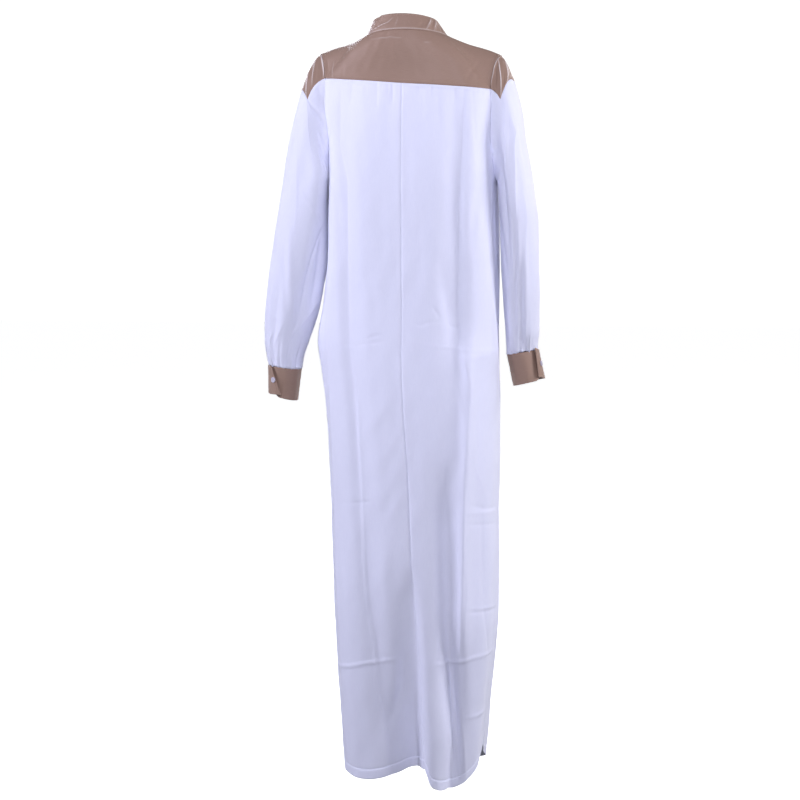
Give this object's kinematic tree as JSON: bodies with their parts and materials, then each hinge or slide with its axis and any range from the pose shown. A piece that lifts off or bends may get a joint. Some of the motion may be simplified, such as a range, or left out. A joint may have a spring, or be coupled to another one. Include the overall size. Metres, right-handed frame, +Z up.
{
  "type": "thobe robe",
  "caption": "Ankle-length worn robe: white body and long sleeves, tan satin band collar, shoulder yoke, pointed sleeve heads and buttoned cuffs. It is hollow and open below.",
  "frame": {"origin": "middle of the wearer's neck, level with the tops of the shoulders", "axes": "+Z up; the wearer faces -Y, so the yoke's long seam and the centre back seam are on +Y; +X to the wearer's left"},
  "size_m": [0.5473, 0.2338, 1.4855],
  "materials": {
    "white_cloth": "plain-weave white cloth with a soft sheen",
    "tan_satin": "warm taupe satin with bright pressed creases",
    "pearl_button": "polished white buttons"
  },
  "bodies": {
    "root": {"back_left": "white_cloth", "back_right": "white_cloth", "collar_stand": "tan_satin", "cuff_button_left": "pearl_button", "cuff_button_right": "pearl_button", "cuff_left": "tan_satin", "cuff_right": "tan_satin", "front": "white_cloth", "placket": "white_cloth", "placket_button_1": "pearl_button", "placket_button_2": "pearl_button", "placket_button_3": "pearl_button", "placket_button_4": "pearl_button", "sleeve_head_left": "tan_satin", "sleeve_head_right": "tan_satin", "sleeve_left": "white_cloth", "sleeve_right": "white_cloth", "yoke": "tan_satin"}
  },
  "joints": []
}
